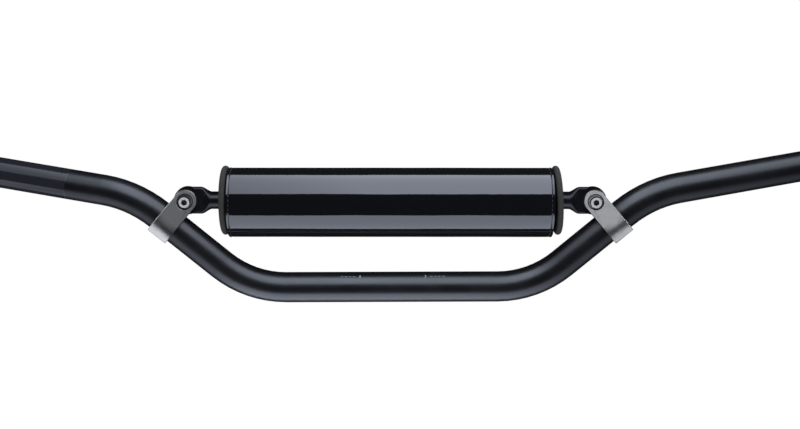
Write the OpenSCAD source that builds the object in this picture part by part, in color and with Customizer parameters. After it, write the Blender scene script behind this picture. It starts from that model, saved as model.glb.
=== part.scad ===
// Motocross handlebar, millimetres.
// X runs along the bar, Z is up and -Y is forward, away from the rider.
// The origin is the middle of the straight centre section, where the triple clamp holds it.

/* [Bar] */
// Outer diameter of the bar
bar_d = 22.2; // [20:0.1:26]
// Wall of the bar
bar_wall = 4; // [2.5:0.1:5]
// Width of the bar, between the centres of its open ends
bar_width = 800; // [740:5:840]
// From the middle to the corner at the foot of the rise, along the centreline
foot_x = 104; // [95:1:120]
// Angle of the rise above the centre section
rise_angle = 40.3; // [34:0.1:46]
// How far the rise leans forward
rise_lean = 15.3; // [5:0.1:25]
// Length of the rise between its two corners
rise_length = 107; // [100:1:125]
// Angle of the grip sections above level
grip_angle = 10; // [4:0.5:14]
// Angle of the grip sections back towards the rider
grip_sweep = 7; // [3:0.5:12]
// Bend radius at the foot of the rise
foot_bend = 72.5; // [55:0.5:80]
// Bend radius at the top of the rise
top_bend = 76; // [55:0.5:85]
// Chamfer round the outside of each open end
end_chamfer = 0.8; // [0.4:0.1:1.5]

/* [Clamps] */
// From the left clamp's upper edge to where the top bend begins
clamp_inset = 0; // [0:0.1:8]
// How much further up its rise the left clamp sits than the right one
left_climb = 2; // [0:0.1:4]
// Width of the clamp along the rise
clamp_w = 16; // [14:0.5:20]
// Wall of the clamp round the bar
clamp_wall = 2.4; // [2:0.1:4]
// From the bar's axis to the clamp bolt
bolt_reach = 21.2; // [20.6:0.1:26]
// Thickness of both ears and the slot together, at the bolt
ear_thickness = 14; // [12:0.2:17]
// From the bolt to the rounded tip of the ears
ear_tip = 8.4; // [8.2:0.1:11]
// Wall left between the slot and the seats of the bolt head and the nut
ear_web = 2.3; // [1.5:0.1:3]
// Diameter of the seat sunk for the bolt head
head_seat_d = 10.8; // [9.5:0.1:12]

/* [Clamp bolts] */
// Diameter of the bolt
bolt_d = 5; // [4:0.5:6]
// Length of the bolt under its head
bolt_length = 16; // [14:1:20]
// Diameter of the bolt head
head_d = 8.5; // [7:0.1:9]
// Height of the bolt head
head_h = 5; // [3:0.1:6]
// Chamfer round the top of the bolt head
head_chamfer = 0.4; // [0.1:0.1:0.8]
// Size of the socket across its flats
socket_af = 4; // [3:0.5:5]
// Depth of the socket
socket_depth = 2.5; // [1.5:0.1:3]
// Size of the nut across its flats
nut_af = 8; // [7:0.5:9]
// Height of the nut with its locking collar
nut_h = 5; // [3.5:0.1:6]
// Height of the round locking collar
collar_h = 1.4; // [0.8:0.1:2]
// How far the collar stands in from the flats of the nut
collar_step = 0.4; // [0.2:0.1:0.6]

/* [Crossbar] */
// Outer diameter of the crossbar
cross_d = 12.7; // [11:0.1:15]
// Wall of the crossbar
cross_wall = 2; // [1.5:0.1:2.5]
// Height of its pressed flat ends
flat_h = 19.9; // [17:0.1:21]
// From the bolt to where the flat begins
flat_reach = 11; // [10:0.5:16]
// Length over which the round tube turns flat
press_length = 8; // [5:0.5:12]
// How far the centre of the round end lies inside the bolt
eye_inset = 1.5; // [0:0.1:2]
// How much the round end stands past the edges of the flat
eye_swell = 0.1; // [0.05:0.05:1]

/* [Pad] */
// Outer diameter of the pad cover
cover_d = 50; // [44:0.5:60]
// From each end disc of a centred pad to where the crossbar starts to turn flat
pad_room = 7.3; // [2:0.1:20]
// How far the pad sits to the right of the middle of the crossbar
pad_shift = 0.2; // [-1:0.1:1]
// How far the foam stands out of each end of the cover
foam_peek = 0.5; // [0.3:0.1:3]
// Thickness of the cover's sheet
cover_wall = 1.2; // [0.8:0.1:2]
// How far the cover hangs below the crossbar's axis
cover_drop = 1.5; // [0:0.1:3]
// Where the cover laps and the foam is slit, as an angle above straight back
lap_place = -20; // [-60:5:30]
// Overlap of the cover, as an angle
lap_angle = 52; // [44:1:70]
// Angle over which the cover climbs onto the lap
lap_climb = 30; // [20:1:45]
// Thickness of each closure strip
strip_t = 0.8; // [0.5:0.1:1.2]
// Width of the closure strips, as an angle
strip_angle = 40; // [30:1:42]
// From each end of the cover to the closure strips
strip_inset = 6; // [3:1:20]
// Width of the slit that lets the foam and the discs over the crossbar
slit_w = 0.8; // [0.5:0.1:2]
// Diameter of the end discs
disc_d = 50; // [44:0.5:60]
// Thickness of the end discs at the rim
disc_t = 4.4; // [3:0.1:6]
// How far the outer face of an end disc is domed
disc_dome = 0.5; // [0.1:0.1:1.5]
// How far the right end disc leans out at its foot
disc_tilt = 2.2; // [0:0.1:4]

/* [Clearances] */
// Gap between clamp and bar, and between ears and crossbar
clamp_gap = 0.06; // [0.02:0.01:0.2]
// Gap round the bolts in their holes
hole_gap = 0.2; // [0.1:0.05:0.5]
// Gap round the thread in the nut
thread_gap = 0.05; // [0.02:0.01:0.1]
// Gap round the nut in its pocket
pocket_gap = 0.15; // [0.05:0.05:0.3]
// Gap between the soft parts and what they sit on
soft_gap = 0.3; // [0.1:0.05:0.5]
// Gap between the foam and the end discs
disc_gap = 0.1; // [0.05:0.05:0.3]
// Gap between the layers of the lap
layer_gap = 0.05; // [0.03:0.01:0.1]

/* [Hidden] */
$fn = 64;

// Each bend is a hair slimmer than the straights and starts a little inside them
hair = 0.01;
bury = 0.2;
// Cutting shapes reach this far past what they cut
spare = 1;

function unit(v) = v / norm(v);
function turn_between(u, v) = acos(unit(u) * unit(v));
function smooth(t) = t * t * (3 - 2 * t);
function polar(r, a) = [r * cos(a), r * sin(a)];

// The bar's centreline: corners of its right half, and the directions of its sections
bar_r = bar_d / 2;
bore_r = bar_r - bar_wall;
along = [1, 0, 0];
rise_dir = [
    cos(rise_angle),
    -sin(rise_angle) * sin(rise_lean),
    sin(rise_angle) * cos(rise_lean)
];
grip_dir = [
    cos(grip_angle) * cos(grip_sweep),
    cos(grip_angle) * sin(grip_sweep),
    sin(grip_angle)
];
foot = [foot_x, 0, 0];
top = foot + rise_length * rise_dir;
tip = top + (bar_width / 2 - top[0]) / grip_dir[0] * grip_dir;
foot_cut = foot_bend * tan(turn_between(along, rise_dir) / 2);
top_cut = top_bend * tan(turn_between(rise_dir, grip_dir) / 2);

// The clamp's own axes: X along the rise, Y out to the ears, Z forward
ear_dir = [
    -sin(rise_angle),
    -cos(rise_angle) * sin(rise_lean),
    cos(rise_angle) * cos(rise_lean)
];
front_dir = cross(rise_dir, ear_dir);
left_place = rise_length - top_cut - clamp_inset - clamp_w / 2;
function clamp_centre(side) = foot + (side < 0 ? left_place : left_place - left_climb) * rise_dir;
clamp_r = bar_r + clamp_gap + clamp_wall;
flat_t = 2 * cross_wall;
slot_w = flat_t + 2 * clamp_gap;
seat_z = slot_w / 2 + ear_web;
ear_half = ear_thickness / 2;
ear_taper = asin(clamp_r / norm([bolt_reach, ear_half])) - atan2(ear_half, bolt_reach);
ear_end = bolt_reach + ear_tip + spare;
ear_end_half = (clamp_r - ear_end * sin(ear_taper)) / cos(ear_taper);

// The crossbar runs from bolt to bolt, with its flat ends in the clamps' slots
function bolt_centre(side) =
    let (p = clamp_centre(side) + bolt_reach * ear_dir)
        [side * p[0], p[1], p[2]];
cross_span = bolt_centre(1) - bolt_centre(-1);
cross_mid = (bolt_centre(1) + bolt_centre(-1)) / 2;
cross_dir = unit(cross_span);
cross_r = cross_d / 2;
eye_r = flat_h / 2 + eye_swell;
bolt_x = norm(cross_span) / 2;
eye_x = bolt_x - eye_inset;
press_x = bolt_x - flat_reach - press_length;

// The pad fills the round part of the crossbar: its discs, the foam between and the cover
disc_x = press_x - pad_room - disc_t;
foam_length = 2 * (disc_x - disc_gap);
cover_length = foam_length - 2 * foam_peek;
cover_r = cover_d / 2;
pad_bore_r = cross_r + soft_gap;
foam_r = cover_r - cover_wall - cover_drop - soft_gap;
disc_r = disc_d / 2;
lap_lift = cover_wall + 2 * strip_t + 3 * layer_gap;
lap_from = lap_place - lap_angle / 2;
lap_to = lap_place + lap_angle / 2;

// Carries things from the axes u, v, w at the point p to the part's own
module carried(u, v, w, p) {
    multmatrix([
        [u[0], v[0], w[0], p[0]],
        [u[1], v[1], w[1], p[1]],
        [u[2], v[2], w[2], p[2]],
        [0, 0, 0, 1]
    ])
        children();
}

// Puts what is drawn upwards along Z at the point p, pointing in direction d
module pointing(p, d) {
    u = unit(cross([0, 1, 0], d));
    carried(u, cross(d, u), d, p) children();
}

module on_side(side) {
    mirror([side < 0 ? 1 : 0, 0, 0]) children();
}

module at_clamp(side) {
    on_side(side)
        carried(rise_dir, ear_dir, front_dir, clamp_centre(side))
            children();
}

module at_bolt(side) {
    at_clamp(side)
        translate([0, bolt_reach, 0])
            children();
}

// Turns a section drawn in Y and Z into a bar along X, centred on x = 0
module bar_of_section(length) {
    lying()
        linear_extrude(length, center = true)
            children();
}

// The crossbar's own axes: X along it, Y up its flat ends, Z forward out of them
module on_crossbar() {
    carried(cross_dir, cross(front_dir, cross_dir), front_dir, cross_mid)
        children();
}

// The middle of the pad on the crossbar's axis, upright, and lowered by drop
module on_pad(drop) {
    back = unit(cross([0, 0, 1], cross_dir));
    up = cross(cross_dir, back);
    carried(cross_dir, back, up, cross_mid + pad_shift * cross_dir - drop * up)
        children();
}

// Lays what is drawn upwards along Z along X, with its X along Y
module lying() {
    rotate([90, 0, 90])
        children();
}

// BAR

module ring(outer, inner) {
    difference() {
        circle(r = outer);
        circle(r = inner);
    }
}

module straight(p, d, length) {
    pointing(p - bury * d, d)
        linear_extrude(length + 2 * bury)
            ring(bar_r, bore_r);
}

// A bend that starts at p in direction u and ends in direction v
module bend(p, u, v, radius) {
    inward = unit(v - (v * u) * u);
    carried(-inward, u, cross(u, inward), p + radius * inward)
        rotate_extrude(angle = turn_between(u, v))
            translate([radius, 0])
                ring(bar_r - hair, bore_r + hair);
}

// The open end section, with the outside of its mouth chamfered
module grip_section() {
    length = norm(tip - top) - top_cut;
    pointing(tip, grip_dir)
        rotate_extrude()
            polygon([
                [bore_r, 0],
                [bore_r, -length - bury],
                [bar_r, -length - bury],
                [bar_r, -end_chamfer],
                [bar_r - end_chamfer, 0]
            ]);
}

module rise_and_grip() {
    bend(foot - foot_cut * along, along, rise_dir, foot_bend);
    straight(foot + foot_cut * rise_dir, rise_dir, rise_length - foot_cut - top_cut);
    bend(top - top_cut * rise_dir, rise_dir, grip_dir, top_bend);
    grip_section();
}

module handlebar_tube() {
    color("#1d1e21") {
        straight([foot_cut - foot_x, 0, 0], along, 2 * (foot_x - foot_cut));
        for (side = [-1, 1])
            on_side(side) rise_and_grip();
    }
}

// CLAMPS

// Seen along the rise: a loop round the bar that runs out into two tapering ears
module clamp_section() {
    difference() {
        union() {
            circle(r = clamp_r);
            polygon([
                [clamp_r * sin(ear_taper), -clamp_r * cos(ear_taper)],
                [ear_end, -ear_end_half],
                [ear_end, ear_end_half],
                [clamp_r * sin(ear_taper), clamp_r * cos(ear_taper)]
            ]);
        }
        circle(r = bar_r + clamp_gap);
        translate([0, -slot_w / 2])
            square([ear_end + spare, slot_w]);
    }
}

// Seen from the front: a strap whose round end is a touch wider, so that its sides trim it
module clamp_outline() {
    end_r = clamp_w / 2 + bury;
    end_y = bolt_reach + ear_tip - end_r;
    translate([-clamp_w / 2 - spare, -clamp_r - spare])
        square([clamp_w + 2 * spare, end_y + clamp_r + spare]);
    translate([0, end_y])
        circle(r = end_r);
}

module clamp_body(side) {
    color("#8d9093")
        at_clamp(side)
            difference() {
                intersection() {
                    bar_of_section(clamp_w) clamp_section();
                    linear_extrude(4 * clamp_r, center = true) clamp_outline();
                }
                translate([0, bolt_reach, 0]) {
                    cylinder(h = 4 * clamp_r, r = bolt_d / 2 + hole_gap, center = true);
                    translate([0, 0, seat_z])
                        cylinder(h = clamp_r, r = head_seat_d / 2);
                    translate([0, 0, -seat_z - clamp_r])
                        cylinder(h = clamp_r, r = (nut_af / 2 + pocket_gap) / cos(30), $fn = 6);
                }
            }
}

// The bolt stands along Z with the underside of its head at z = 0
module bolt() {
    difference() {
        rotate_extrude()
            polygon([
                [0, -bolt_length],
                [bolt_d / 2 - head_chamfer, -bolt_length],
                [bolt_d / 2, -bolt_length + head_chamfer],
                [bolt_d / 2, 0],
                [head_d / 2, 0],
                [head_d / 2, head_h - head_chamfer],
                [head_d / 2 - head_chamfer, head_h],
                [0, head_h]
            ]);
        translate([0, 0, head_h - socket_depth])
            cylinder(h = socket_depth + spare, r = socket_af / 2 / cos(30), $fn = 6);
    }
}

module clamp_bolt(side) {
    color("#c9ccd1")
        at_bolt(side)
            translate([0, 0, seat_z])
                bolt();
}

// The nut hangs along Z with its seat at z = 0 and its locking collar below
module nut() {
    difference() {
        union() {
            translate([0, 0, collar_h - nut_h])
                cylinder(h = nut_h - collar_h, r = nut_af / 2 / cos(30), $fn = 6);
            translate([0, 0, -nut_h])
                cylinder(h = nut_h, r = nut_af / 2 - collar_step);
        }
        cylinder(h = 3 * nut_h, r = bolt_d / 2 + thread_gap, center = true);
    }
}

module clamp_nut(side) {
    color("#a7aaae")
        at_bolt(side)
            translate([0, 0, -seat_z])
                nut();
}

// CROSSBAR

press_steps = 12;
press_sides = 32;

// Half a size of the tube on its way from round at t = 0 to flat at t = 1
function pressed_to(flat_half, t) = cross_r + (flat_half - cross_r) * smooth(t);

// The tube's section at x, with round edges: high along Y, thick along Z, less a skin
function pressed_ring(x, t, skin) =
    let (
        half_t = pressed_to(flat_t / 2, t) - skin,
        shift = pressed_to(flat_h / 2, t) - skin - half_t
    )
    [
        for (i = [0:press_sides - 1])
            let (a = 360 * (i + 0.5) / press_sides)
                [x, half_t * sin(a) + sign(sin(a)) * shift, half_t * cos(a)]
    ];

// Where the tube is pressed how far, as pairs of x and t
press_places = [
    for (k = [0:press_steps])
        [press_x + k / press_steps * press_length, k / press_steps]
];

// A solid through rings of points that follow each other along X
module loft(rings) {
    n = len(rings[0]);
    last = len(rings) - 1;
    polyhedron(
        points = [for (ring = rings) each ring],
        faces = concat(
            [[for (i = [n - 1:-1:0]) i]],
            [
                for (k = [0:last - 1], i = [0:n - 1])
                    let (a = k * n + i, b = k * n + (i + 1) % n)
                        each [[a, b, b + n], [a, b + n, a + n]]
            ],
            [[for (i = [0:n - 1]) last * n + i]]
        )
    );
}

// The right end: hollow until the walls meet, then a flat with a round eye for the bolt
module crossbar_end() {
    outer_places = concat([[press_x - bury, 0]], press_places, [[eye_x, 1]]);
    inner_places = concat(
        [[press_x - 2 * bury, 0]],
        [for (k = [0:press_steps - 1]) press_places[k]]
    );
    difference() {
        union() {
            loft([for (p = outer_places) pressed_ring(p[0], p[1], hair)]);
            translate([eye_x, 0, 0])
                cylinder(h = flat_t, r = eye_r, center = true);
        }
        loft([for (p = inner_places) pressed_ring(p[0], p[1], cross_wall + hair)]);
        translate([bolt_x, 0, 0])
            cylinder(h = cross_d, r = bolt_d / 2 + hole_gap, center = true);
    }
}

module crossbar() {
    color("#232428")
        on_crossbar() {
            bar_of_section(2 * press_x)
                ring(cross_r, cross_r - cross_wall);
            for (side = [-1, 1])
                on_side(side) crossbar_end();
        }
}

// PAD

// A wedge from angle a to angle b that reaches past the pad
module wedge(a, b) {
    steps = 8;
    polygon(concat(
        [[0, 0]],
        [for (i = [0:steps]) polar(2 * cover_r, a + (b - a) * i / steps)]
    ));
}

// A band of thickness t on the circle of radius r, from angle a to angle b
module band(r, t, a, b) {
    intersection() {
        ring(r + t, r);
        wedge(a, b);
    }
}

// The slit from the hole to past the rim
module slit(rim_r) {
    rotate(lap_place)
        translate([0, -slit_w / 2])
            square([rim_r + spare, slit_w]);
}

module pad_foam() {
    color("#26272a")
        on_pad(0)
            bar_of_section(foam_length)
                difference() {
                    ring(foam_r, pad_bore_r);
                    slit(foam_r);
                }
}

climb_steps = 12;

// The stretch where the sheet climbs by lap_lift, a step longer at each end
module climb() {
    places = [for (i = [-1:climb_steps + 1]) i / climb_steps];
    radii = [
        for (t = places)
            cover_r - cover_wall + lap_lift * smooth(min(max(t, 0), 1))
    ];
    angles = [for (t = places) lap_from + (t - 1) * lap_climb];
    last = len(places) - 1;
    polygon(concat(
        [for (i = [0:last]) polar(radii[i] + hair, angles[i])],
        [for (i = [last:-1:0]) polar(radii[i] + cover_wall - hair, angles[i])]
    ));
}

// One sheet: round the foam from its inner edge, then up and over that edge
module pad_cover() {
    inner_r = cover_r - cover_wall;
    color("#17181b")
        on_pad(cover_drop) {
            bar_of_section(cover_length)
                band(inner_r, cover_wall, lap_from, lap_from + 360 - lap_climb);
            bar_of_section(cover_length - 2 * hair)
                climb();
            bar_of_section(cover_length)
                band(inner_r + lap_lift, cover_wall, lap_from, lap_to);
        }
}

// A closure strip between the layers of the lap, on the circle of radius r
module closure_strip(r) {
    on_pad(cover_drop)
        bar_of_section(cover_length - 2 * strip_inset)
            band(r, strip_t, lap_place - strip_angle / 2, lap_place + strip_angle / 2);
}

module pad_loop_strip() {
    color("#101113")
        closure_strip(cover_r + layer_gap);
}

module pad_hook_strip() {
    color("#101113")
        closure_strip(cover_r + strip_t + 2 * layer_gap);
}

rim_steps = 10;
dome_steps = 5;

// Half the section of an end disc: flat inside, round at the rim and domed outside
module disc_section() {
    rim_r = disc_t / 2;
    flat_r = disc_r - rim_r;
    polygon(concat(
        [[pad_bore_r, 0]],
        [
            for (i = [0:rim_steps])
                [flat_r, rim_r] + polar(rim_r, 180 * i / rim_steps - 90)
        ],
        [
            for (i = [1:dome_steps])
                let (r = flat_r + (pad_bore_r - flat_r) * i / dome_steps)
                    [r, disc_t + disc_dome * (1 - pow(r / flat_r, 2))]
        ]
    ));
}

// An end disc against the foam, which its top still touches when its foot leans out
module pad_disc(side, tilt) {
    color("#3a3b3e")
        on_pad(0)
            on_side(side)
                translate([disc_x + foam_r * sin(tilt), 0, 0])
                    rotate([0, -tilt, 0])
                        lying()
                            difference() {
                                rotate_extrude() disc_section();
                                translate([0, 0, -spare])
                                    linear_extrude(disc_t + disc_dome + 2 * spare) slit(disc_r);
                            }
}

handlebar_tube();
crossbar();
clamp_body(-1);  // clamp_left
clamp_body(1);  // clamp_right
clamp_bolt(-1);  // clamp_bolt_left
clamp_bolt(1);  // clamp_bolt_right
clamp_nut(-1);  // clamp_nut_left
clamp_nut(1);  // clamp_nut_right
pad_foam();
pad_cover();
pad_loop_strip();
pad_hook_strip();
pad_disc(-1, 0);  // pad_disc_left
pad_disc(1, disc_tilt);  // pad_disc_right
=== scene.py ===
from math import asin, cos, pi, radians, sin, sqrt

import bmesh
import bpy
from mathutils import Matrix, Vector, noise


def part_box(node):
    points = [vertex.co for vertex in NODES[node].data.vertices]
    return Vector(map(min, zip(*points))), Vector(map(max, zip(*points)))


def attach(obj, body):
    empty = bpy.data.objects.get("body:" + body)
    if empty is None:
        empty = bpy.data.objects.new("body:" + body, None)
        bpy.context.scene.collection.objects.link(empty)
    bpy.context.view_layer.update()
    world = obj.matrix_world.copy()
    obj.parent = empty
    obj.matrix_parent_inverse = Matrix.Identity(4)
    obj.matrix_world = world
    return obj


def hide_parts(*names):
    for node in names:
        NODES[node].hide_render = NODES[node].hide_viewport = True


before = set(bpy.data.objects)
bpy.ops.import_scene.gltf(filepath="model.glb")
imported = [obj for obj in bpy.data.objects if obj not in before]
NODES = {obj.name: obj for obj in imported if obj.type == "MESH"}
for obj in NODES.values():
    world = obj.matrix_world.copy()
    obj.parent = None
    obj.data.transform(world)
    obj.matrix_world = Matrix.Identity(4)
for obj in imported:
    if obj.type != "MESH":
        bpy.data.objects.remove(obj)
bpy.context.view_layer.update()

MM = 0.001

# The photograph's frame and the camera that fits the bar's outline in it
IMAGE_W = 800
FOCAL_PX = 1245.4
SENSOR_W = 36.0
CAMERA_AT = (0.0089, -0.915, 0.0)
CAMERA_YAW = -0.17
CAMERA_PITCH = 3.32
CAMERA_ROLL = -0.2

# The bar, and the film wrapped round its left end
BAR_R = 11.1 * MM
FILM_FROM = -245 * MM
FILM_SLOPE = (-0.977, 0.12, 0.174)


def middle_of(name):
    low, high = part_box(name)
    return (low + high) / 2


# The pad's axes: X along the crossbar from bolt to bolt, Y back and Z up, from its middle
PAD_ALONG = (middle_of("clamp_bolt_right") - middle_of("clamp_bolt_left")).normalized()
PAD_BACK = Vector((0, 0, 1)).cross(PAD_ALONG).normalized()
PAD_UP = PAD_ALONG.cross(PAD_BACK)
PAD_MIDDLE = middle_of("pad_foam")
PAD_AXES = Matrix.Translation(PAD_MIDDLE) @ Matrix((PAD_ALONG, PAD_BACK, PAD_UP)).transposed().to_4x4()


def on_pad(x, y, z):
    return PAD_AXES @ Vector((x, y, z))


def pad_box(name):
    """A CAD node's box in the pad's axes."""
    to_pad = PAD_AXES.inverted() @ NODES[name].matrix_world
    places = [to_pad @ vertex.co for vertex in NODES[name].data.vertices]
    low = Vector([min(place[i] for place in places) for i in range(3)])
    high = Vector([max(place[i] for place in places) for i in range(3)])
    return low, high


# The foam on the crossbar's axis, slit from behind
FOAM_HIGH = pad_box("pad_foam")[1]
FOAM_HALF = FOAM_HIGH.x
FOAM_R = FOAM_HIGH.z
HOLE_R = 6.65 * MM
SLIT_W = 0.8 * MM
SLIT_AT = radians(-20)
FOAM_EDGE = 1.2 * MM

# The cover: one sheet from its inner edge round the foam, up over that edge and back on it
COVER_LOW, COVER_HIGH = pad_box("pad_cover")
COVER_R = (COVER_HIGH.z - COVER_LOW.z) / 2
COVER_Z = (COVER_HIGH.z + COVER_LOW.z) / 2
COVER_LENGTH = COVER_HIGH.x - COVER_LOW.x
COVER_T = 1.2 * MM
STRIP_T = 0.8 * MM
LAYER_GAP = 0.05 * MM
LAP_LIFT = COVER_T + 2 * STRIP_T + 3 * LAYER_GAP
LAP_FROM = radians(-46)
LAP_TURN = radians(52)
CLIMB_TURN = radians(30)
COVER_TURN = 2 * pi + LAP_TURN
STRIP_TURN = radians(40)
BEAD_W = 1.8 * MM
BEAD_H = 0.22 * MM
SEAM_AT = 2.1 * MM
SEAM_W = 0.9 * MM
SEAM_DEPTH = 0.4 * MM
STITCH_PITCH = 3.2 * MM
STITCH_LENGTH = 2.3 * MM
STITCH_R = 0.17 * MM
WAVE_H = 0.08 * MM
WAVE_LENGTH = 40 * MM

# The end discs, of which the right one leans out at its foot
DISC_LOW, DISC_HIGH = pad_box("pad_disc_left")
DISC_R = (DISC_HIGH.z - DISC_LOW.z) / 2
DISC_GAP = -FOAM_HALF - DISC_HIGH.x
DISC_DOME = 0.5 * MM
DISC_T = DISC_HIGH.x - DISC_LOW.x - DISC_DOME
DISC_TILT = radians(2.2)


# The bolts point forward and down, square to the rises' planes
BOLT_AXIS = Vector((0, -0.9646, -0.2639))


# Meshes

def new_object(name, mesh):
    obj = bpy.data.objects.new(name, mesh)
    bpy.context.scene.collection.objects.link(obj)
    return obj


def mesh_object(name, points, faces, smooth_angle=30):
    """A mesh object with its faces outward, smooth but for edges sharper than smooth_angle."""
    mesh = bpy.data.meshes.new(name)
    mesh.from_pydata([tuple(p) for p in points], [], faces)
    mesh.validate()
    made = bmesh.new()
    made.from_mesh(mesh)
    bmesh.ops.recalc_face_normals(made, faces=made.faces)
    made.to_mesh(mesh)
    made.free()
    obj = new_object(name, mesh)
    mesh.shade_smooth()
    mesh.set_sharp_from_angle(angle=radians(smooth_angle))
    return obj


def swept(name, rings, smooth_angle=30):
    """A closed solid through rings of points, with a flat cap on the first and the last."""
    n = len(rings[0])
    last = (len(rings) - 1) * n
    faces = [tuple(range(n)), tuple(range(last, last + n))]
    for k in range(len(rings) - 1):
        for i in range(n):
            a, b = k * n + i, k * n + (i + 1) % n
            faces.append((a, b, b + n, a + n))
    return mesh_object(name, [p for ring in rings for p in ring], faces, smooth_angle)


def spaced(start, end, step):
    """Even places from start to end, at most step apart."""
    count = max(1, round(abs(end - start) / step + 0.5))
    return [start + (end - start) * i / count for i in range(count + 1)]


def smooth(t):
    t = min(max(t, 0), 1)
    return t * t * (3 - 2 * t)


def bell(x, middle, width):
    """1 at the middle, falling smoothly to 0 at half the width from it."""
    t = min(1, 2 * abs(x - middle) / width)
    return cos(pi / 2 * t) ** 2


def dress(obj, material):
    """Gives a new piece its material and its slot, and lets it ride on the part."""
    obj.data.materials.clear()
    obj.data.materials.append(material)
    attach(obj, "root")
    return obj


def paint(names, material):
    """Gives CAD nodes a material."""
    for name in names:
        NODES[name].data.materials.clear()
        NODES[name].data.materials.append(material)


def round_edges(names, width):
    """Breaks the sharp edges of CAD nodes as a deburred edge is."""
    for name in names:
        weld = NODES[name].modifiers.new("weld", "WELD")
        weld.merge_threshold = 0.001 * MM
        bevel = NODES[name].modifiers.new("bevel", "BEVEL")
        bevel.width = width
        bevel.segments = 3
        bevel.limit_method = "ANGLE"
        bevel.angle_limit = radians(40)
        bevel.harden_normals = True


# Pad

def hem(x, length):
    """How far the cover's face stands out at x: a folded bead at each end, then a sewn groove."""
    u = length / 2 - abs(x)
    return BEAD_H * bell(u, BEAD_W / 2, BEAD_W) - SEAM_DEPTH * bell(u, SEAM_AT, SEAM_W)


def unhemmed(x, length):
    return 0


def sheet_outline(length, thickness, face):
    """The section of a sheet lying along X, as (x, out): its face, a round end, its back, an end."""
    r = thickness / 2
    side = length / 2 - r
    near = spaced(0, 3.5 * MM, 0.22 * MM)
    far = spaced(-side + near[-1], side - near[-1], 3 * MM)
    places = [-side + u for u in near[:-1]] + far + [side - u for u in reversed(near[:-1])]
    turn = [pi / 2 - pi * k / 6 for k in range(1, 6)]
    outline = [(x, r + face(x, length)) for x in places]
    outline += [(side + r * cos(a), r * sin(a)) for a in turn]
    outline += [(x, -r) for x in spaced(side, -side, 8 * MM)]
    outline += [(-side - r * cos(a), r * sin(a)) for a in reversed(turn)]
    return outline


def rolled(name, length, thickness, start, turn, radius_at, face):
    """A sheet rolled round the pad: radius_at gives its middle at each angle past start."""
    outline = sheet_outline(length, thickness, face)
    r = thickness / 2
    edge = r / radius_at(0)
    ends = [edge * t for t in (0.02, 0.12, 0.3, 0.6)]
    turns = ends + spaced(edge, turn - edge, radians(2.4)) + [turn - t for t in reversed(ends)]
    rings = []
    for t in turns:
        inside = min(t, turn - t, edge) / edge
        thin = sqrt(1 - (1 - inside) ** 2)
        a = start + t
        ring = []
        for x, out in outline:
            wave = WAVE_H * noise.noise(Vector((x / WAVE_LENGTH, 1.5 * cos(a), 1.5 * sin(a))))
            radius = radius_at(t) + out * thin + wave
            ring.append(on_pad(x, radius * cos(a), COVER_Z + radius * sin(a)))
        rings.append(ring)
    return swept(name, rings, 50)


def cover_radius(t):
    """The middle of the cover's sheet at an angle past its inner edge."""
    climbed = smooth((t - (2 * pi - CLIMB_TURN)) / CLIMB_TURN)
    return COVER_R - COVER_T / 2 + LAP_LIFT * climbed


def developed(radius_at, turn):
    """The length of a rolled sheet's middle."""
    steps = 400
    radii = [radius_at(turn * (k + 0.5) / steps) for k in range(steps)]
    return sum(radii) * turn / steps


def make_cover(material):
    cover = rolled("cover_sheet", COVER_LENGTH, COVER_T, LAP_FROM, COVER_TURN, cover_radius, hem)
    dress(cover, material)
    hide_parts("pad_cover")
    return cover


def make_strip(name, node_name, radius, material):
    low, high = pad_box(node_name)
    length = high.x - low.x
    strip = rolled(
        name, length, STRIP_T, SLIT_AT - STRIP_TURN / 2, STRIP_TURN, lambda t: radius, unhemmed
    )
    dress(strip, material)
    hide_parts(node_name)
    return strip


def turned_past_slit(name, outline, place, smooth_angle=30):
    """A ring or disc turned from its outline of (x, r), open at the slit; place sets each point."""
    steps = 120
    rings = []
    for k in range(steps + 1):
        ring = []
        for x, r in outline:
            lip = asin(SLIT_W / 2 / r)
            a = SLIT_AT + lip + k / steps * (2 * pi - 2 * lip)
            ring.append(place(x, r * cos(a), r * sin(a)))
        rings.append(ring)
    return swept(name, rings, smooth_angle)


def make_foam(material):
    """The foam core, with rounded rims and a cut face that is slightly uneven."""
    end = FOAM_HALF
    round_out = [
        (end - FOAM_EDGE + FOAM_EDGE * cos(a), FOAM_R - FOAM_EDGE + FOAM_EDGE * sin(a))
        for a in [pi / 2 * k / 6 for k in range(7)]
    ]
    cut = [(end, r) for r in spaced(HOLE_R, FOAM_R - FOAM_EDGE, 1 * MM)]
    right = cut[:-1] + round_out
    left = [(-x, r) for x, r in reversed(right)]

    def place(x, y, z):
        uneven = 0.12 * MM * noise.noise(Vector((y, z, x)) / (4 * MM))
        inward = x - (uneven + 0.12 * MM) * (1 if x > 0 else -1)
        return on_pad(inward, y, z)

    core = turned_past_slit("foam_core", right + left, place, 50)
    dress(core, material)
    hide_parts("pad_foam")
    return core


def disc_outline():
    """An end disc's section: flat inside, round at the rim, domed outside, softened at the hole."""
    rim = DISC_T / 2
    flat_r = DISC_R - rim
    soft = 0.4 * MM
    crown = DISC_T + DISC_DOME * (1 - (HOLE_R / flat_r) ** 2)
    outline = [(r_in, HOLE_R + soft - sqrt(soft**2 - (soft - r_in) ** 2)) for r_in in (0.4 * MM, 0.1 * MM)]
    outline += [(0, r) for r in spaced(HOLE_R + soft, flat_r, 3 * MM)]
    outline += [
        (rim + rim * sin(a), flat_r + rim * cos(a)) for a in [-pi / 2 + pi * k / 16 for k in range(1, 17)]
    ]
    outline += [
        (DISC_T + DISC_DOME * (1 - (r / flat_r) ** 2), r)
        for r in spaced(flat_r, HOLE_R + soft, 1.5 * MM)[1:]
    ]
    outline += [(crown - 0.15 * MM, HOLE_R + 0.08 * MM), (crown - soft, HOLE_R)]
    return outline


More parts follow.
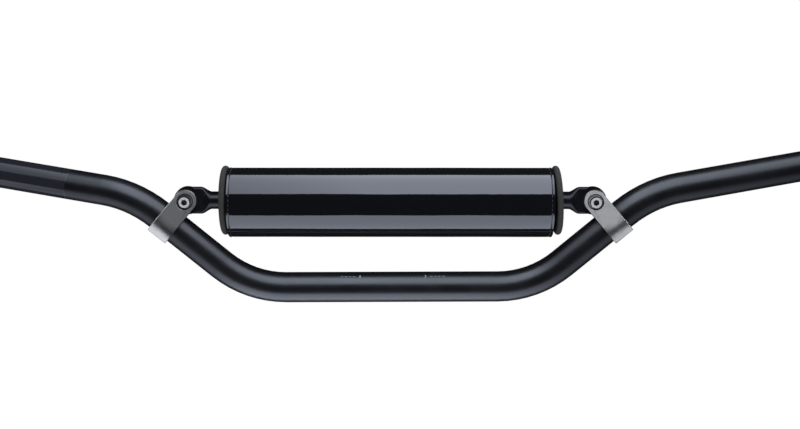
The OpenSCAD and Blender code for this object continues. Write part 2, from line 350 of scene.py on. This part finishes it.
def make_disc(side, tilt, material):
    name = "pad_disc_left" if side < 0 else "pad_disc_right"
    foot = FOAM_HALF + DISC_GAP + FOAM_R * sin(tilt)

    def place(x, y, z):
        leant = x * cos(tilt) - z * sin(tilt)
        return on_pad(side * (foot + leant), y, x * sin(tilt) + z * cos(tilt))

    disc = turned_past_slit(name.replace("pad", "end"), disc_outline(), place, 60)
    dress(disc, material)
    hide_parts(name)
    return disc


def stitch(points, faces, at, along, out):
    """Adds a stitch to a mesh: a short thread whose ends dip into the sheet."""
    side = along.cross(out)
    base = len(points)
    rings, sides = 7, 6
    for k in range(rings):
        t = k / (rings - 1)
        lift = STITCH_R * (2.2 * sin(pi * t) - 1.1)
        r = STITCH_R * (0.55 + 0.45 * sin(pi * t))
        middle = at + along * (STITCH_LENGTH * (t - 0.5)) + out * lift
        for i in range(sides):
            a = 2 * pi * i / sides
            points.append(middle + r * (cos(a) * out + sin(a) * side))
    for k in range(rings - 1):
        for i in range(sides):
            a, b = base + k * sides + i, base + k * sides + (i + 1) % sides
            faces.append((a, b, b + sides, a + sides))
    faces.append(tuple(base + i for i in range(sides)))
    faces.append(tuple(base + (rings - 1) * sides + i for i in range(sides)))


def make_stitching(material):
    """Thread in the seam of each hem, and in two rows along the cover's free edge."""
    points, faces = [], []
    seam_x = COVER_LENGTH / 2 - SEAM_AT

    def place(x, t, depth):
        a = LAP_FROM + t
        radius = cover_radius(t) + COVER_T / 2 - depth
        return on_pad(x, radius * cos(a), COVER_Z + radius * sin(a))

    def outward(t):
        a = LAP_FROM + t
        return cos(a) * PAD_BACK + sin(a) * PAD_UP

    for t in spaced(radians(3), COVER_TURN - radians(3), STITCH_PITCH / COVER_R):
        out = outward(t)
        for side in (-1, 1):
            stitch(points, faces, place(side * seam_x, t, SEAM_DEPTH), PAD_ALONG.cross(out), out)
    for back in (2.5 * MM, 12 * MM):
        t = COVER_TURN - back / COVER_R
        for x in spaced(-seam_x + 4 * MM, seam_x - 4 * MM, STITCH_PITCH):
            stitch(points, faces, place(x, t, 0), PAD_ALONG, outward(t))
    return dress(mesh_object("cover_stitching", points, faces, 60), material)


# Bar

def make_marks(material):
    """Plain alignment marks printed on the front of the centre section, near its top."""
    high, low = radians(131), radians(143)
    marks = [(-23.4, -22.6, high, low), (24.2, 25.0, high, low)]
    for x in (-37, -34, -31, -28):
        marks.append((x, x + 1.6, radians(136), radians(138.5)))
    for x in (28, 31, 34, 37):
        marks.append((x, x + 1.6, radians(136), radians(138.5)))
    points, faces = [], []
    radius = BAR_R + 0.02 * MM
    for x0, x1, a0, a1 in marks:
        base = len(points)
        steps = 6
        for k in range(steps + 1):
            a = a0 + (a1 - a0) * k / steps
            points += [(x * MM, radius * cos(a), radius * sin(a)) for x in (x0, x1)]
        faces += [
            (base + 2 * k, base + 2 * k + 1, base + 2 * k + 3, base + 2 * k + 2) for k in range(steps)
        ]
    return dress(mesh_object("bar_marks", points, faces), material)


# Materials

def new_material(name, color, roughness, specular=0.5, metallic=0.0):
    """A material with its Principled shader and node tree."""
    material = bpy.data.materials.new(name)
    material.use_nodes = True
    tree = material.node_tree
    shader = tree.nodes["Principled BSDF"]
    shader.inputs["Base Color"].default_value = (*color, 1)
    shader.inputs["Roughness"].default_value = roughness
    shader.inputs["Specular IOR Level"].default_value = specular
    shader.inputs["Metallic"].default_value = metallic
    return material, tree, shader


def node(tree, kind, **inputs):
    made = tree.nodes.new(kind)
    for key, value in inputs.items():
        made.inputs[key.replace("_", " ")].default_value = value
    return made


def position(tree):
    """Places on the object, which are the row frame's own."""
    return tree.nodes.new("ShaderNodeTexCoord").outputs["Object"]


def depth_along(tree, direction):
    """How far along a direction each place on the object is."""
    made = tree.nodes.new("ShaderNodeVectorMath")
    made.operation = "DOT_PRODUCT"
    made.inputs[1].default_value = direction
    tree.links.new(position(tree), made.inputs[0])
    return made.outputs["Value"]


def scaled(tree, source, scale):
    mapping = tree.nodes.new("ShaderNodeMapping")
    mapping.inputs["Scale"].default_value = scale
    tree.links.new(source, mapping.inputs["Vector"])
    return mapping.outputs["Vector"]


def noise_of(tree, scale, detail=2.0, stretch=None):
    """Noise with features of 1/scale metres, stretched if asked."""
    source = position(tree)
    if stretch:
        source = scaled(tree, source, stretch)
    made = node(tree, "ShaderNodeTexNoise", Scale=scale, Detail=detail)
    tree.links.new(source, made.inputs["Vector"])
    return made.outputs["Fac"]


def ramp(tree, source, low, high, low_value, high_value):
    """Source between low and high as values or colours between the two given."""
    colored = hasattr(low_value, "__len__")
    made = tree.nodes.new("ShaderNodeMapRange")
    made.inputs["From Min"].default_value = low
    made.inputs["From Max"].default_value = high
    tree.links.new(source, made.inputs["Value"])
    if not colored:
        made.inputs["To Min"].default_value = low_value
        made.inputs["To Max"].default_value = high_value
        return made.outputs["Result"]
    mix = tree.nodes.new("ShaderNodeMix")
    mix.data_type = "RGBA"
    mix.inputs["A"].default_value = (*low_value, 1)
    mix.inputs["B"].default_value = (*high_value, 1)
    tree.links.new(made.outputs["Result"], mix.inputs["Factor"])
    return mix.outputs["Result"]


def bump(tree, shader, height, distance, strength=1.0):
    """Adds a bump of the given height in metres, after any that is there."""
    made = node(tree, "ShaderNodeBump", Strength=strength, Distance=distance)
    tree.links.new(height, made.inputs["Height"])
    before = shader.inputs["Normal"].links
    if before:
        tree.links.new(before[0].from_socket, made.inputs["Normal"])
    tree.links.new(made.outputs["Normal"], shader.inputs["Normal"])


def anodised(name, color, roughness):
    """Blasted and anodised aluminium: a dark, even, faintly grained surface."""
    material, tree, shader = new_material(name, color, roughness, specular=0.5)
    fine = noise_of(tree, 2600, detail=3)
    broad = noise_of(tree, 45, detail=2)
    lighter = tuple(1.35 * c for c in color)
    tree.links.new(ramp(tree, broad, 0.35, 0.65, color, lighter), shader.inputs["Base Color"])
    tree.links.new(
        ramp(tree, broad, 0.3, 0.7, roughness - 0.02, roughness + 0.03), shader.inputs["Roughness"]
    )
    bump(tree, shader, fine, 0.012 * MM)
    return material, tree, shader


def filmed_bar():
    """The bar's anodising, smooth and glossy under the clear film on its left end."""
    material, tree, shader = anodised("bar_metal", (0.003, 0.0031, 0.0034), 0.33)
    start = FILM_FROM * FILM_SLOPE[0]
    film = ramp(tree, depth_along(tree, FILM_SLOPE), start, start + 0.6 * MM, 0.0, 1.0)
    rough = shader.inputs["Roughness"].links[0].from_socket
    mix = tree.nodes.new("ShaderNodeMix")
    mix.inputs["B"].default_value = 0.12
    tree.links.new(film, mix.inputs["Factor"])
    tree.links.new(rough, mix.inputs["A"])
    tree.links.new(mix.outputs["Result"], shader.inputs["Roughness"])
    hazed = tree.nodes.new("ShaderNodeMix")
    hazed.data_type = "RGBA"
    hazed.inputs["B"].default_value = (0.013, 0.0135, 0.015, 1)
    tree.links.new(film, hazed.inputs["Factor"])
    tree.links.new(shader.inputs["Base Color"].links[0].from_socket, hazed.inputs["A"])
    tree.links.new(hazed.outputs["Result"], shader.inputs["Base Color"])
    bump(tree, shader, film, 0.06 * MM)
    return material


def printed_marks():
    """Thin grey paint, worn unevenly."""
    material, tree, shader = new_material("mark_paint", (0.3, 0.3, 0.31), 0.5)
    worn = noise_of(tree, 1500, detail=3)
    tree.links.new(
        ramp(tree, worn, 0.35, 0.65, (0.08, 0.08, 0.085), (0.35, 0.35, 0.36)),
        shader.inputs["Base Color"],
    )
    return material


def sewing_thread():
    """Twisted black thread with a faint sheen."""
    material, tree, shader = new_material("sewing_thread", (0.012, 0.012, 0.013), 0.55)
    strands = noise_of(tree, 4000, detail=2)
    tree.links.new(
        ramp(tree, strands, 0.3, 0.7, (0.006, 0.006, 0.007), (0.03, 0.03, 0.032)),
        shader.inputs["Base Color"],
    )
    bump(tree, shader, strands, 0.05 * MM)
    return material


def coated_cloth():
    """Glossy vinyl on a woven backing, whose threads show faintly in the gloss."""
    material, tree, shader = new_material("coated_cloth", (0.003, 0.003, 0.0032), 0.05, specular=0.5)
    streaks = noise_of(tree, 900, detail=2, stretch=(0.12, 1, 1))
    dimples = noise_of(tree, 60, detail=2, stretch=(0.5, 1, 1))
    bump(tree, shader, streaks, 0.004 * MM)
    bump(tree, shader, dimples, 0.05 * MM)
    tree.links.new(ramp(tree, streaks, 0.3, 0.7, 0.035, 0.075), shader.inputs["Roughness"])
    return material


def moulded_foam(name, color, pore, specular=0.35):
    material, tree, shader = new_material(name, color, 0.85, specular=specular)
    pores = noise_of(tree, pore, detail=4)
    tree.links.new(
        ramp(tree, pores, 0.3, 0.7, tuple(0.8 * c for c in color), tuple(1.25 * c for c in color)),
        shader.inputs["Base Color"],
    )
    bump(tree, shader, pores, 0.06 * MM)
    return material


def blasted_clamp():
    """Grey satin metal with a fine grain."""
    material, tree, shader = new_material("clamp_metal", (0.42, 0.425, 0.43), 0.34, metallic=1.0)
    grain = noise_of(tree, 2200, detail=3)
    broad = noise_of(tree, 120, detail=2)
    tree.links.new(ramp(tree, broad, 0.3, 0.7, 0.36, 0.44), shader.inputs["Roughness"])
    tree.links.new(
        ramp(tree, grain, 0.3, 0.7, (0.38, 0.39, 0.412), (0.46, 0.47, 0.496)), shader.inputs["Base Color"]
    )
    bump(tree, shader, grain, 0.01 * MM)
    return material


def bright_steel(name):
    """Bright zinc plate."""
    material, tree, shader = new_material(name, (0.6, 0.61, 0.62), 0.22, metallic=1.0)
    grain = noise_of(tree, 1800, detail=3)
    tree.links.new(ramp(tree, grain, 0.3, 0.7, 0.18, 0.3), shader.inputs["Roughness"])
    bump(tree, shader, grain, 0.008 * MM)
    return material, tree, shader


def socket_head():
    """The same with a bright face, and painted shade: the socket and the knurled side below the face are
    coloured near black, where shade falls.
    """
    material, tree, shader = bright_steel("bolt_metal")
    head = NODES["clamp_bolt_left"]
    face = max(BOLT_AXIS.dot(head.matrix_world @ vertex.co) for vertex in head.data.vertices)
    depth = depth_along(tree, BOLT_AXIS)
    below_face = ramp(tree, depth, face - 0.5 * MM, face - 0.42 * MM, 1.0, 0.0)
    above_floor = ramp(tree, depth, face - 2.65 * MM, face - 2.55 * MM, 0.0, 1.0)
    # Painted shade: from 0.5 mm to about 2.6 mm below the face, the socket and the head's side get a
    # near-black colour instead of the plate's.
    painted_shade = tree.nodes.new("ShaderNodeMath")
    painted_shade.operation = "MULTIPLY"
    tree.links.new(below_face, painted_shade.inputs[0])
    tree.links.new(above_floor, painted_shade.inputs[1])
    color = ramp(tree, painted_shade.outputs["Value"], 0, 1, (0.6, 0.61, 0.62), (0.02, 0.02, 0.021))
    tree.links.new(color, shader.inputs["Base Color"])
    return material


def closure_tape():
    material, tree, shader = new_material("closure_tape", (0.01, 0.01, 0.011), 0.85, specular=0.3)
    loops = noise_of(tree, 1500, detail=4)
    tree.links.new(
        ramp(tree, loops, 0.3, 0.7, (0.006, 0.006, 0.007), (0.03, 0.03, 0.032)), shader.inputs["Base Color"]
    )
    bump(tree, shader, loops, 0.2 * MM)
    return material


# Stage

LAMP_COLOR = (0.77, 0.835, 1.0)
NEUTRAL = (1.0, 1.0, 1.0)


def aim(obj, at, target, up=(0, 0, 1)):
    """Puts obj at a place with its -Z towards the target."""
    back = (Vector(at) - Vector(target)).normalized()
    side = Vector(up).cross(back)
    if side.length < 1e-6:
        side = Vector((1, 0, 0))
    side.normalize()
    turned = Matrix((side, back.cross(side), back)).transposed().to_4x4()
    obj.matrix_world = Matrix.Translation(at) @ turned


def softbox(name, at, target, size, radiance, color=LAMP_COLOR, up=(0, 0, 1)):
    """A rectangular lamp of size (across, high) at a place, turned towards the target."""
    data = bpy.data.lights.new(name, "AREA")
    data.shape = "RECTANGLE"
    data.size, data.size_y = size
    data.energy = radiance * pi * data.size * data.size_y
    data.color = color
    lamp = new_object(name, data)
    aim(lamp, at, target, up)
    lamp.visible_camera = False
    return lamp


def softbox_between(name, near, far, width, radiance):
    """A lamp across X, from the edge at near (y, z) to the edge at far (y, z), facing the pad."""
    near, far = Vector((0, *near)), Vector((0, *far))
    middle = (near + far) / 2
    across = Vector((1, 0, 0))
    facing = (far - near).cross(across)
    if facing.dot(PAD_MIDDLE - middle) < 0:
        facing = -facing
    size = (width, (far - near).length)
    return softbox(name, middle, middle + facing, size, radiance, up=across.cross(facing))


def fade_along_x(lamp, levels):
    """Scales a lamp's light across its width by (x, level) pairs, in metres from its middle."""
    lamp.data.use_nodes = True
    tree = lamp.data.node_tree
    geometry = tree.nodes.new("ShaderNodeNewGeometry")
    split = tree.nodes.new("ShaderNodeSeparateXYZ")
    tree.links.new(geometry.outputs["Parametric"], split.inputs["Vector"])
    fade = tree.nodes.new("ShaderNodeValToRGB")
    stops = fade.color_ramp.elements
    while len(stops) < len(levels):
        stops.new(0.5)
    for stop, (x, level) in zip(stops, levels):
        stop.position = 0.5 + x / lamp.data.size
        stop.color = (level, level, level, 1)
    tree.links.new(split.outputs["X"], fade.inputs["Fac"])
    tree.links.new(fade.outputs["Color"], tree.nodes["Emission"].inputs["Strength"])


def lights_only(name, objects):
    """A set of objects for a lamp that lights these alone."""
    chosen = bpy.data.collections.new(name)
    for obj in objects:
        chosen.objects.link(obj)
    return chosen


def lights_all_but(name, objects):
    """A set of objects for a lamp that lights everything but these."""
    chosen = lights_only(name, objects)
    for entry in chosen.collection_objects:
        entry.light_linking.link_state = "EXCLUDE"
    return chosen


def from_axis(y, z, elevation, distance):
    """A place (y, z) in front of an axis along X, at that elevation seen from it."""
    a = radians(elevation)
    return (y - distance * cos(a), z + distance * sin(a))


def from_pad(elevation, distance):
    return from_axis(PAD_MIDDLE.y, PAD_MIDDLE.z, elevation, distance)


def from_bar(elevation, distance):
    return from_axis(0, 0, elevation, distance)


def make_world():
    """White behind the part, a dark room round it for reflections, and soft light all round."""
    world = bpy.data.worlds.new("studio")
    bpy.context.scene.world = world
    world.use_nodes = True
    tree = world.node_tree
    tree.nodes.clear()
    path = tree.nodes.new("ShaderNodeLightPath")
    soft = node(tree, "ShaderNodeBackground", Color=(*LAMP_COLOR, 1), Strength=0.25)
    white = node(tree, "ShaderNodeBackground", Color=(1, 1, 1, 1), Strength=1.0)
    room = node(tree, "ShaderNodeBackground", Color=(*LAMP_COLOR, 1), Strength=0.012)
    glossy = tree.nodes.new("ShaderNodeMixShader")
    tree.links.new(path.outputs["Is Glossy Ray"], glossy.inputs[0])
    tree.links.new(soft.outputs[0], glossy.inputs[1])
    tree.links.new(room.outputs[0], glossy.inputs[2])
    seen = tree.nodes.new("ShaderNodeMixShader")
    tree.links.new(path.outputs["Is Camera Ray"], seen.inputs[0])
    tree.links.new(glossy.outputs[0], seen.inputs[1])
    tree.links.new(white.outputs[0], seen.inputs[2])
    clear = tree.nodes.new("ShaderNodeMixShader")
    tree.links.new(path.outputs["Is Transmission Ray"], clear.inputs[0])
    tree.links.new(seen.outputs[0], clear.inputs[1])
    tree.links.new(white.outputs[0], clear.inputs[2])
    output = tree.nodes.new("ShaderNodeOutputWorld")
    tree.links.new(clear.outputs[0], output.inputs["Surface"])


def make_floor():
    """A pale floor well below the part, which takes its shadow."""
    half, z = 6.0, -0.75
    points = [(-half, -half, z), (half, -half, z), (half, half, z), (-half, half, z)]
    floor = mesh_object("floor", points, [(0, 1, 2, 3)])
    material = bpy.data.materials.new("floor_white")
    material.use_nodes = True
    tree = material.node_tree
    tree.nodes.clear()
    path = tree.nodes.new("ShaderNodeLightPath")
    paper = node(tree, "ShaderNodeBsdfDiffuse", Color=(0.85, 0.85, 0.85, 1))
    glow = node(tree, "ShaderNodeEmission", Color=(1, 1, 1, 1), Strength=0.95)
    sum_up = tree.nodes.new("ShaderNodeAddShader")
    tree.links.new(paper.outputs[0], sum_up.inputs[0])
    tree.links.new(glow.outputs[0], sum_up.inputs[1])
    mix = tree.nodes.new("ShaderNodeMixShader")
    tree.links.new(path.outputs["Is Camera Ray"], mix.inputs[0])
    tree.links.new(paper.outputs[0], mix.inputs[1])
    tree.links.new(sum_up.outputs[0], mix.inputs[2])
    output = tree.nodes.new("ShaderNodeOutputMaterial")
    tree.links.new(mix.outputs[0], output.inputs["Surface"])
    floor.data.materials.append(material)
    floor.visible_glossy = False


def make_camera():
    data = bpy.data.cameras.new("camera")
    data.sensor_width = SENSOR_W
    data.lens = SENSOR_W * FOCAL_PX / IMAGE_W
    data.clip_start = 0.01
    yaw, pitch, roll = radians(CAMERA_YAW), radians(CAMERA_PITCH), radians(CAMERA_ROLL)
    forward = Vector((sin(yaw) * cos(pitch), cos(yaw) * cos(pitch), sin(pitch)))
    level = forward.cross(Vector((0, 0, 1))).normalized()
    above = level.cross(forward)
    right = cos(roll) * level + sin(roll) * above
    up = cos(roll) * above - sin(roll) * level
    camera = new_object("camera", data)
    camera.matrix_world = Matrix.Translation(CAMERA_AT) @ Matrix(
        (right, up, -forward)
    ).transposed().to_4x4()
    bpy.context.scene.camera = camera


def light_pad(pad):
    """The two long softboxes whose reflections are the bands on the glossy cover."""
    above = softbox_between("pad_above", from_pad(22.9, 1.2), from_pad(97.3, 0.9), 2.2, 6.0)
    fade_along_x(above, [(-0.27, 0.62), (-0.04, 0.98)])
    below = softbox_between("pad_below", from_pad(-47.7, 0.9), from_pad(-100.5, 0.65), 2.2, 3.9)
    for lamp in (above, below):
        lamp.light_linking.receiver_collection = pad


BAR_ABOVE_FADE = [
    (-0.95, 0.2), (-0.75, 0.19), (-0.6, 0.24), (-0.5, 0.38), (-0.4, 0.4), (-0.3, 0.8), (-0.2, 1.0),
    (-0.05, 0.94), (0.1, 0.72), (0.25, 0.76), (0.4, 0.8), (0.55, 0.74), (0.68, 0.44), (0.95, 0.35),
]
BAR_BELOW_FADE = [
    (-0.95, 0.38), (-0.7, 0.18), (-0.6, 0.24), (-0.5, 0.5), (-0.3, 1.0), (-0.1, 0.92), (0.1, 0.86),
    (0.2, 0.7), (0.3, 0.5), (0.45, 0.28), (0.6, 0.17), (0.75, 0.12), (0.95, 0.085),
]


def light_bar(lit, blockers):
    """The same for the bar, fading outwards as they do there, and not shaded by the pad."""
    above = softbox_between("bar_above", from_bar(22, 1.2), from_bar(80, 0.95), 2.4, 5.8)
    fade_along_x(above, BAR_ABOVE_FADE)
    below = softbox_between("bar_below", from_bar(-52, 0.85), from_bar(-115, 0.6), 2.4, 4.4)
    fade_along_x(below, BAR_BELOW_FADE)
    for lamp in (above, below):
        lamp.light_linking.receiver_collection = lit
        lamp.light_linking.blocker_collection = blockers


def light_crossbar(crossbar, blockers):
    """Narrower and weaker softboxes for the crossbar, which thin the lines on its flat ends."""
    above = softbox_between("cross_above", from_pad(24, 1.2), from_pad(58, 1.05), 2.2, 2.8)
    below = softbox_between("cross_below", from_pad(-52, 0.9), from_pad(-95, 0.7), 2.2, 1.7)
    for lamp in (above, below):
        lamp.light_linking.receiver_collection = crossbar
        lamp.light_linking.blocker_collection = blockers


def light_clamp(side, name, flat_radiance, wrap_radiance):
    """Lamps that a clamp mirrors to the camera: in its flat, its loop, its long edges and its tip."""
    clamp = middle_of(name)
    lit = lights_only(name + "_lit", [NODES[name]])
    for part, towards, size, radiance in (
        ("flat", (-0.12, -0.97, -0.1), 0.8, flat_radiance),
        ("loop", (0.62, 0.3, -0.72), 1.35, wrap_radiance),
        ("edges", (0.905, -0.118, 0.409), 1.1, 2.8),
        ("tip", (-0.62, -0.45, 0.64), 0.9, 2.2),
    ):
        x, y, z = towards
        at = clamp + Vector((x * side, y, z))
        lamp = softbox(f"{name}_{part}", at, clamp, (size, size), radiance, NEUTRAL)
        lamp.light_linking.receiver_collection = lit


def light_metal(bolts, edges):
    """Light for the bolts' faces, and the pale wall behind as the edges of the metal mirror it."""
    front = softbox("bolt_front", (0, -1.06, -0.46), (0, 0, 0.06), (1.0, 0.52), 0.9, NEUTRAL)
    front.light_linking.receiver_collection = bolts
    wall = softbox("metal_wall", (0, 1.03, 0.59), (0, 0, 0.06), (1.4, 0.7), 1.3, NEUTRAL)
    wall.light_linking.receiver_collection = edges
    light_clamp(-1, "clamp_left", 0.27, 1.65)
    light_clamp(1, "clamp_right", 1.1, 1.1)


make_camera()
make_world()
make_floor()
bpy.context.scene.view_settings.view_transform = "Standard"

CLAMPS = ["clamp_left", "clamp_right"]
BOLTS = ["clamp_bolt_left", "clamp_bolt_right"]
NUTS = ["clamp_nut_left", "clamp_nut_right"]
bar_metal = filmed_bar()
crossbar_metal, _, _ = anodised("crossbar_metal", (0.004, 0.004, 0.0045), 0.3)
thread = sewing_thread()
tape = closure_tape()

paint(["handlebar_tube"], bar_metal)
paint(["crossbar"], crossbar_metal)
paint(CLAMPS, blasted_clamp())
paint(BOLTS, socket_head())
paint(NUTS, bright_steel("nut_metal")[0])
round_edges(CLAMPS, 0.5 * MM)

cover = make_cover(coated_cloth())
stitching = make_stitching(thread)
cover_size = (COVER_LENGTH, developed(cover_radius, COVER_TURN))
foam = make_foam(moulded_foam("pad_foam_cells", (0.012, 0.012, 0.013), 900))
disc_skin = moulded_foam("pad_disc_skin", (0.021, 0.0195, 0.015), 1400, specular=0.12)
discs = [make_disc(-1, 0, disc_skin), make_disc(1, DISC_TILT, disc_skin)]
strips = [
    make_strip("loop_strip", "pad_loop_strip", COVER_R + LAYER_GAP + STRIP_T / 2, tape),
    make_strip("hook_strip", "pad_hook_strip", COVER_R + 2 * LAYER_GAP + 1.5 * STRIP_T, tape),
]
make_marks(printed_marks())

PAD = [cover, stitching, foam, *discs, *strips]
METAL = [NODES[name] for name in CLAMPS + BOLTS + NUTS]
light_pad(lights_only("pad_lit", PAD))
CROSSBAR = [NODES["crossbar"]]
shaded_by = lights_all_but("bar_shaded_by", PAD)
light_bar(lights_all_but("bar_lit", PAD + METAL + CROSSBAR), shaded_by)
light_crossbar(lights_only("crossbar_lit", CROSSBAR), shaded_by)
light_metal(lights_only("bolts_lit", METAL[2:]), lights_only("edges_lit", METAL))
